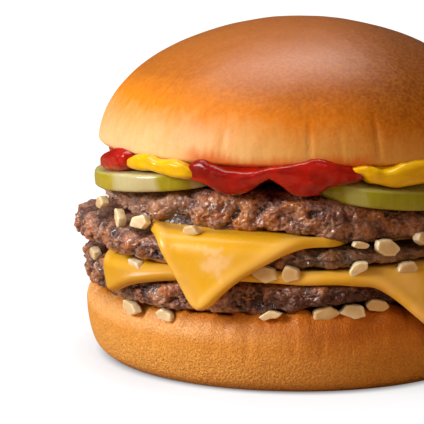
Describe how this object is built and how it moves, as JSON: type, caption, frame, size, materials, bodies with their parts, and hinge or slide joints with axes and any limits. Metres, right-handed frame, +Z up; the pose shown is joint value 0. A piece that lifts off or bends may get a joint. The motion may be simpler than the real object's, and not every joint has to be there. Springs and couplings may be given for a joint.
{
  "type": "triple cheeseburger",
  "caption": "Burger of stacked ground beef patties and melted cheese slices in a soft glossy bun, with diced onion, pickle slices, ketchup and mustard.",
  "frame": {"origin": "centre of the bottom bun's flat base, which rests on the surface below", "axes": "+Z up through the stack to the top bun; the front, where the melted corner of the upper cheese slice hangs down, looks along -Y; +X is to the right seen from the front"},
  "size_m": [0.1041, 0.1036, 0.0803],
  "materials": {
    "bread": "soft baked crust, golden orange to caramel brown with a satin sheen",
    "beef": "coarse browned ground beef, wet with fat",
    "cheese": "melted, smooth satin",
    "pickle": "wet, translucent green flesh with a darker skin",
    "ketchup": "glossy wet sauce",
    "mustard": "glossy wet sauce",
    "onion": "cooked, cream and translucent"
  },
  "bodies": {
    "root": {"bottom_bun": "bread", "patty_bottom": "beef", "cheese_lower": "cheese", "patty_middle": "beef", "cheese_upper": "cheese", "patty_top": "beef", "pickle_left": "pickle", "pickle_right": "pickle", "pickle_back_right": "pickle", "pickle_back_left": "pickle", "ketchup": "ketchup", "ketchup_drop": "ketchup", "mustard_left": "mustard", "mustard_right": "mustard", "mustard_back": "mustard", "top_bun": "bread"}
  },
  "joints": []
}
